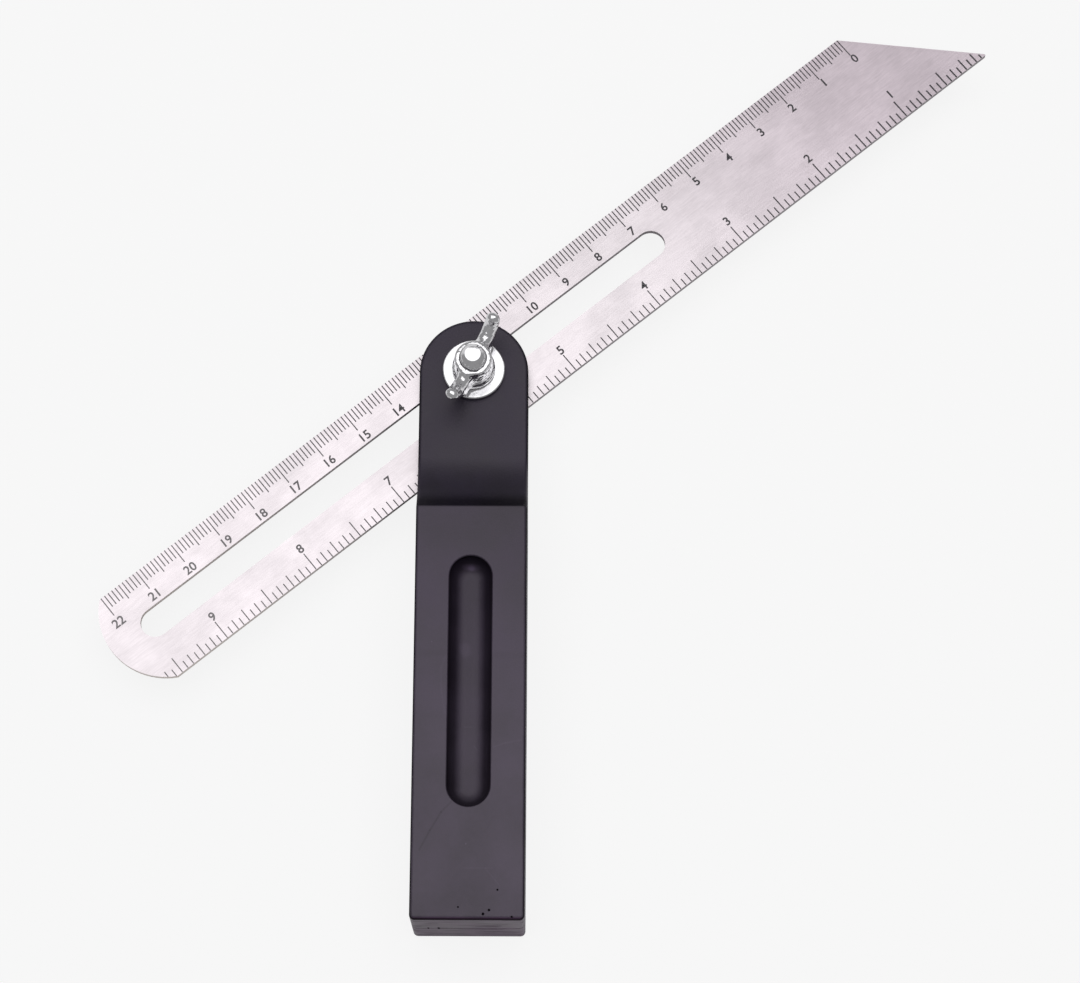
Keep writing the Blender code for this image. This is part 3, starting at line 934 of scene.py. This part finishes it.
    def figure(self, text: str, along: float, across: float) -> tuple[Array, list]:
        """One number of a scale, with its middle at a place on the blade.

        Args:
            text: The number.
            along: The place of its middle along the blade.
            across: The place of its middle across the blade.

        Returns:
            Its points and faces.
        """
        curve = bpy.data.curves.new(f"figure_{text}", "FONT")
        curve.body = text
        curve.size = 1.0
        curve.offset = self.figure_weight
        curve.resolution_u = self.figure_steps
        holder = bpy.data.objects.new(curve.name, curve)
        bpy.context.scene.collection.objects.link(holder)
        bpy.context.view_layer.update()
        mesh = bpy.data.meshes.new_from_object(holder.evaluated_get(bpy.context.evaluated_depsgraph_get()))
        flat = np.empty(len(mesh.vertices) * 3)
        mesh.vertices.foreach_get("co", flat)
        faces = [tuple(face.vertices) for face in mesh.polygons]
        bpy.data.objects.remove(holder, do_unlink=True)
        flat = flat.reshape(-1, 3)[:, :2]
        low, high = flat.min(axis=0), flat.max(axis=0)
        flat = (flat - (low + high) / 2) * (self.figure_height / (high[1] - low[1]))
        up = np.full(len(flat), self.thickness / 2 + self.mark_rise)
        return self.place(along + flat[:, 0], across + flat[:, 1], up), faces

    def figures(self, ink: Material) -> Object:
        """The numbers of both scales.

        Args:
            ink: The numbers' finish.

        Returns:
            The piece.
        """
        metric = (0, 10 * MILLIMETRE, self.pivot_reading, self.metric_edge - self.metric_figure_inset)
        low = self.metric_edge - self.width
        inches = (1, INCH, self.pivot_reading + self.width, low + self.inch_figure_inset)
        points: list[Array] = []
        faces: list[tuple[int, ...]] = []
        count = 0
        for (first, step, start, row), shifts in ((metric, self.metric_shifts), (inches, self.inch_shifts)):
            for number, (along, across) in enumerate(shifts, start=first):
                middle = start - number * step + along * MILLIMETRE
                made, cells = self.figure(str(number), middle, row + across * MILLIMETRE)
                points.append(made)
                faces.extend(tuple(corner + count for corner in cell) for cell in cells)
                count += len(made)
        return new_piece("blade_figures", np.concatenate(points), faces, ink, smooth=False)

    def build(self) -> list[Object]:
        """Dresses the blade and lays its scales on it.

        Returns:
            The blade and the pieces on it.
        """
        steel = BrushedSteel(self.turn, self.pivot, self.thickness / 2).material("brushed_steel")
        ink = EtchedMark(self.turn, self.pivot).material("etched_marks")
        pieces = [self.graduations(ink), self.figures(ink)]
        for piece in pieces:
            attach(piece, Body.BLADE.value)
        return [dress("blade", steel), *pieces]


def revolved(radii: Array, heights: Array, axis: Pair) -> tuple[Array, list]:
    """A closed skin round an upright axis, with a point at each end.

    The point at ring i and step j stands at angle 2 pi j over the step count, at radius radii[i, j] from the
    axis and at height heights[i].

    Args:
        radii: One row of radii for each ring, lowest first.
        heights: The height of each ring.
        axis: The x and y of the axis.

    Returns:
        The points and the faces.
    """
    rings, steps = radii.shape
    turn = np.linspace(0.0, math.tau, steps, endpoint=False)
    x, y = axis[0] + radii * np.cos(turn), axis[1] + radii * np.sin(turn)
    skin = np.stack([x, y, np.broadcast_to(heights[:, None], radii.shape)], axis=-1).reshape(-1, 3)
    here = np.arange(steps)
    after = (here + 1) % steps
    low = np.arange(rings - 1)[:, None] * steps
    walls = np.stack([low + here, low + after, low + steps + after, low + steps + here], axis=-1).reshape(-1, 4)
    last, bottom = (rings - 1) * steps, rings * steps
    below = np.stack([after, here, np.full(steps, bottom)], axis=-1)
    above = np.stack([here + last, after + last, np.full(steps, bottom + 1)], axis=-1)
    ends = np.array([(*axis, heights[0]), (*axis, heights[-1])])
    return np.concatenate([skin, ends]), walls.tolist() + below.tolist() + above.tolist()


@dataclass
class PivotBolt:
    """The bolt: a domed head, a square neck that rides in the blade's slot, an M6 thread and a domed end.

    The poles are the shares of the caps' angles at which their last rings stand. The crest and the flank are
    shares of half a pitch.
    """

    axis: Pair = (0.0, 0.11515)
    steps: int = 96
    cap_rings: int = 9
    head_pole: float = 0.05
    end_pole: float = 0.08
    head_low: float = 0.0021
    head_seat: float = 0.0057
    head_rim: float = 0.0004
    head_radius: float = 0.0075
    corner: float = 0.0002
    neck_half: float = 0.0030
    neck_power: float = 8.0
    neck_top: float = 0.012875
    thread_low: float = 0.0176
    end: float = 0.03008
    radius: float = 0.0030
    pitch: float = 0.0010
    thread_depth: float = 0.00045
    thread_crest: float = 0.25
    thread_flank: float = 0.625
    rings_per_pitch: int = 16
    end_chamfer: float = 0.0012
    end_dome: float = 0.0001
    sharp_angle: float = math.radians(38)

    def profile(self) -> tuple[Array, Array]:
        """The bolt's radius at every height and angle.

        The head and the end are caps of spheres, the neck follows |x|**n + |y|**n = half width**n, and the
        thread's radius falls from crest to root with the distance from a helix that rises one pitch a turn.

        Returns:
            The radii, one row for each ring, and the heights.
        """
        turn = np.linspace(0.0, math.tau, self.steps, endpoint=False)
        rounds = np.ones(self.steps)
        crown = self.head_seat - self.head_rim - self.head_low
        ball = (self.head_radius**2 + crown**2) / (2 * crown)
        lean = np.linspace(self.head_pole, 1.0, self.cap_rings) * math.asin(self.head_radius / ball)
        spread = np.abs(np.cos(turn)) ** self.neck_power + np.abs(np.sin(turn)) ** self.neck_power
        neck = self.neck_half / spread ** (1 / self.neck_power)
        base = self.end - self.end_dome - self.end_chamfer
        rings = int((base - self.thread_low) / self.pitch * self.rings_per_pitch)
        heights = np.linspace(self.thread_low, base, rings)
        wave = np.abs(2 * ((heights[:, None] / self.pitch - turn / math.tau) % 1.0) - 1)
        depth = self.thread_depth * (1 - np.clip((wave - self.thread_crest) / self.thread_flank, 0.0, 1.0))
        fade = np.clip((heights - self.thread_low) / self.pitch, 0.0, 1.0)[:, None]
        thread = self.radius - depth * fade
        tip = self.radius - self.end_chamfer
        chamfer = np.linspace(0.0, 1.0, self.cap_rings)[1:]
        cone = np.minimum(thread[-1], (self.radius - self.end_chamfer * chamfer)[:, None])
        tip_ball = (tip**2 + self.end_dome**2) / (2 * self.end_dome)
        tip_lean = np.linspace(1.0, self.end_pole, self.cap_rings)[1:] * math.asin(tip / tip_ball)
        radii = np.concatenate([
            np.outer(ball * np.sin(lean), rounds),
            np.outer([self.head_radius, self.head_radius - self.corner], rounds),
            np.tile(neck, (3, 1)),
            np.full((2, self.steps), self.radius),
            thread,
            cone,
            np.outer(tip_ball * np.sin(tip_lean), rounds),
        ])
        places = np.concatenate([
            self.head_low + ball * (1 - np.cos(lean)),
            [self.head_seat - self.corner, self.head_seat, self.head_seat],
            [self.neck_top - self.corner, self.neck_top, self.neck_top, self.thread_low - self.corner],
            heights,
            base + self.end_chamfer * chamfer,
            self.end - tip_ball * (1 - np.cos(tip_lean)),
        ])
        return radii, places

    def build(self, plate: Material) -> Object:
        """Makes the bolt in its solid's place.

        Args:
            plate: Its finish.

        Returns:
            The piece.
        """
        bolt = new_piece("threaded_bolt", *revolved(*self.profile(), self.axis), plate)
        bolt.data.set_sharp_from_angle(angle=self.sharp_angle)
        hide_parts("pivot_bolt")
        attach(bolt, Body.PIVOT.value)
        return bolt


@dataclass
class WingNut:
    """The cast wing nut: a flanged cone and two wings that flow into it."""

    axis: Pair = (0.0, 0.11515)
    base: float = 0.0198
    turn: float = math.radians(63.5)
    foot_radius: float = 0.0049
    crest_radius: float = 0.0042
    height: float = 0.0074
    flange: float = 0.0013
    flange_rounding: float = 0.00036
    neck_step: float = 0.0003
    edge_rounding: float = 0.0006
    bore_radius: float = 0.00306
    wing_root: Pair = (0.003612, 0.00185)
    wing_tip: Pair = (0.0102, 0.00855)
    wing_foot: float = 0.0003
    scoop_centre: Pair = (0.0050, 0.01134)
    scoop_radius: float = 0.00464
    root_radius: float = 0.0041
    tip_radius: float = 0.00125
    half_thickness: float = 0.0017
    wing_rounding: float = 0.0016
    fillet: float = 0.0014
    voxel: float = 0.0002
    margin: int = 2
    settling_rounds: int = 5
    settling_step: float = 0.00002
    least_steepness: float = 0.2

    def distance(self, places: Array) -> Array:
        """How far each place is outside the nut's skin, in the nut's own frame.

        x runs along the wings, y across them and z up from the foot. The hub is a cone and a disc with rounded
        edges. Each wing is a plate whose outline runs round two circles and their common tangents, with a third
        circle cut out of its upper edge, and is cut off level just above the foot. A smooth minimum joins the
        parts, which leaves a fillet between them. The bore is cut out last.

        Args:
            places: One row for each place.

        Returns:
            The distances, below zero inside the metal.
        """
        x, y, z = np.abs(places[:, 0]), places[:, 1], places[:, 2]
        ring = np.hypot(x, y)
        neck = self.foot_radius - self.neck_step
        slope = (neck - self.crest_radius) / (self.height - self.flange)
        wall = (ring - (neck - slope * (z - self.flange))) / math.hypot(1.0, slope)
        cone = self.rounded(wall, np.maximum(z - self.height, -z), self.edge_rounding)
        disc = self.rounded(ring - self.foot_radius, np.maximum(z - self.flange, -z), self.flange_rounding)
        hub = self.merged(cone, disc, self.edge_rounding)
        root, tip = np.array(self.wing_root), np.array(self.wing_tip)
        length = np.linalg.norm(tip - root)
        along = (tip - root) / length
        offset_x, offset_z = x - root[0], z - root[1]
        run = offset_x * along[0] + offset_z * along[1]
        side = np.abs(offset_z * along[0] - offset_x * along[1])
        lean = (self.root_radius - self.tip_radius) / length
        upright = math.sqrt(1 - lean**2)
        reach = upright * run - lean * side
        outline = upright * side + lean * run - self.root_radius
        outline = np.where(reach < 0, np.hypot(run, side) - self.root_radius, outline)
        outline = np.where(reach > upright * length, np.hypot(run - length, side) - self.tip_radius, outline)
        scooped = self.scoop_radius - np.hypot(x - self.scoop_centre[0], z - self.scoop_centre[1])
        outline = np.maximum(np.maximum(outline, scooped), self.wing_foot - z)
        plate = self.rounded(outline, np.abs(y) - self.half_thickness, self.wing_rounding)
        body = np.maximum(self.merged(hub, plate, self.fillet), -z)
        return np.maximum(body, self.bore_radius - ring)

    @staticmethod
    def rounded(first: Array, second: Array, radius: float) -> Array:
        """The common part of two shapes, with its edge rounded to a radius."""
        outside = np.hypot(np.maximum(first + radius, 0), np.maximum(second + radius, 0))
        return outside + np.minimum(np.maximum(first, second) + radius, 0) - radius

    @staticmethod
    def merged(first: Array, second: Array, reach: float) -> Array:
        """Two shapes joined with a fillet of about the given reach."""
        overlap = np.maximum(reach - np.abs(first - second), 0.0) / reach
        return np.minimum(first, second) - overlap**2 * reach / 4

    def settled(self, places: Array) -> Array:
        """Places moved on to the nut's skin.

        Each round takes the slope of the distance by central differences and steps down it by the distance.

        Args:
            places: Places near the skin.

        Returns:
            The places on the skin.
        """
        reach = self.settling_step
        for _ in range(self.settling_rounds):
            changes = [self.distance(places + step) - self.distance(places - step) for step in np.eye(3) * reach]
            slope = np.stack(changes, axis=-1) / (2 * reach)
            steepness = np.maximum((slope**2).sum(axis=1), self.least_steepness)
            places = places - slope * (self.distance(places) / steepness)[:, None]
        return places

    def blank(self) -> tuple[Array, Array]:
        """A rough closed skin of the nut: the boundary of the small cubes whose middles lie in the metal.

        Returns:
            Its points and its four-sided faces, turned outwards.
        """
        size, spare = self.voxel, 2 * self.margin
        reach = self.wing_tip[0] + self.tip_radius
        top = self.wing_tip[1] + self.tip_radius
        wide, deep = (2 * math.ceil(half / size) + spare for half in (reach, self.foot_radius))
        shape = (wide, deep, math.ceil(top / size) + spare)
        origin = np.array([-wide / 2 * size, -deep / 2 * size, -self.margin * size])
        index = np.indices(shape).reshape(3, -1).T
        solid = (self.distance(origin + (index + 0.5) * size) < 0).reshape(shape)
        stride = np.array([(shape[1] + 1) * (shape[2] + 1), shape[2] + 1, 1])
        steps = np.eye(3, dtype=int)
        faces = []
        for axis in range(3):
            first, second = steps[(axis + 1) % 3], steps[(axis + 2) % 3]
            square = np.array([(0, 0, 0), first, first + second, second])
            change = np.diff(solid.astype(int), axis=axis)
            for sign in (-1, 1):
                cells = np.argwhere(change == sign) + steps[axis]
                faces.append((cells[:, None] + (square if sign < 0 else square[::-1])) @ stride)
        used, renumbered = np.unique(np.concatenate(faces), return_inverse=True)
        lattice = np.stack([used // stride[0], used % stride[0] // stride[1], used % stride[1]], axis=-1)
        return origin + lattice * size, renumbered.reshape(-1, 4)

    def build(self, plate: Material) -> Object:
        """Makes the nut in its solid's place.

        Args:
            plate: Its finish.

        Returns:
            The piece.
        """
        places, faces = self.blank()
        points = placed(*self.settled(places).T, self.turn, (*self.axis, self.base))
        nut = new_piece("cast_wing_nut", points, faces, plate)
        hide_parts("wing_nut")
        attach(nut, Body.WING_NUT.value)
        return nut


@dataclass
class Clamp:
    """The bolt, the washer and the wing nut, bright plated; the nut's casting is the rougher."""

    bolt: PivotBolt = field(default_factory=PivotBolt)
    nut: WingNut = field(default_factory=WingNut)
    turned: BrightPlate = BrightPlate()
    cast: BrightPlate = BrightPlate(ripples=(650.0, 2.0, 0.5), ripple_depth=0.00030, film=(1625.0, 3.0, 0.5))

    def build(self) -> list[Object]:
        """Makes or dresses the hardware.

        Returns:
            The pieces.
        """
        plate, casting = self.turned.material("bright_plate"), self.cast.material("plated_casting")
        return [self.bolt.build(plate), dress("washer", plate), self.nut.build(casting)]


@dataclass(frozen=True)
class Lamp:
    """A soft rectangular lamp that looks straight down."""

    name: str
    place: Point
    width: float
    depth: float
    radiance: float
    in_gloss: bool = True

    def build(self) -> None:
        """Hangs the lamp; a rectangle of radiance L and area A sends out pi * L * A watts."""
        data = bpy.data.lights.new(self.name, "AREA")
        data.shape = "RECTANGLE"
        data.size = self.width
        data.size_y = self.depth
        data.energy = math.pi * self.width * self.depth * self.radiance
        lamp = bpy.data.objects.new(self.name, data)
        bpy.context.scene.collection.objects.link(lamp)
        lamp.location = self.place
        lamp.visible_glossy = self.in_gloss


@dataclass
class Studio:
    """The floor, the soft lights, the surroundings and the camera."""

    floor_size: float = 6.0
    softbox: Lamp = Lamp("softbox", (0.0, 0.24, 1.0), 1.20, 0.86, 1.35)
    fill: Lamp = Lamp("fill", (0.0, 0.0, 1.6), 2.0, 2.0, 1.30, in_gloss=False)
    dim: Colour = (0.10, 0.10, 0.104)
    white: Colour = (0.943, 0.943, 0.943)
    mirrored_share: float = 0.30
    lens: float = 101.87
    sensor_width: float = 36.0
    nearest: float = 0.01
    farthest: float = 20.0
    camera_place: Point = (0.019667, -0.11898, 0.68181)
    camera_pan: float = math.radians(1.208)
    camera_tilt: float = math.radians(17.18)
    camera_roll: float = math.radians(-0.963)

    def floor(self) -> None:
        """Lays the floor under the bevel."""
        reach = self.floor_size / 2
        corners = np.array([(-1, -1, 0), (1, -1, 0), (1, 1, 0), (-1, 1, 0)]) * reach
        floor = new_piece("floor", corners, [(0, 1, 2, 3)], PaleFloor().material("pale_floor"), smooth=False)

    def camera(self) -> None:
        """Sets up the camera, which stands over the butt and looks down along the stock."""
        data = bpy.data.cameras.new("camera")
        data.lens = self.lens
        data.sensor_width = self.sensor_width
        data.clip_start = self.nearest
        data.clip_end = self.farthest
        camera = bpy.data.objects.new("camera", data)
        bpy.context.scene.collection.objects.link(camera)
        turn = (
            Matrix.Rotation(self.camera_pan, 4, "Z")
            @ Matrix.Rotation(self.camera_tilt, 4, "X")
            @ Matrix.Rotation(self.camera_roll, 4, "Z")
        )
        camera.matrix_world = Matrix.Translation(self.camera_place) @ turn
        bpy.context.scene.camera = camera

    def world(self) -> None:
        """Dim surroundings for the light, white ones for the camera, and some of that white in gloss and glass."""
        world = bpy.data.worlds.new("surroundings")
        bpy.context.scene.world = world
        graph = Graph(world)
        colour = graph.blend(graph.shown(1.0, self.mirrored_share), self.dim, self.white)
        glow = graph.add("ShaderNodeBackground", None, {"Color": colour})
        graph.add("ShaderNodeOutputWorld", None, {"Surface": glow.outputs[0]})

    def build(self) -> None:
        """Sets the whole studio up."""
        bpy.context.scene.view_settings.view_transform = "Standard"
        self.floor()
        self.world()
        self.softbox.build()
        self.fill.build()
        self.camera()


def main() -> None:
    """Builds the looks of the bevel piece by piece."""
    logging.basicConfig(level=logging.INFO, format="%(message)s")
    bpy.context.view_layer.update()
    for assembly in (Stock(), Blade(), Clamp()):
        for piece in assembly.build():
            logging.info("%s: %s, %d faces", type(assembly).__name__, piece.name, len(piece.data.polygons))
    Studio().build()


if __name__ == "__main__":
    main()
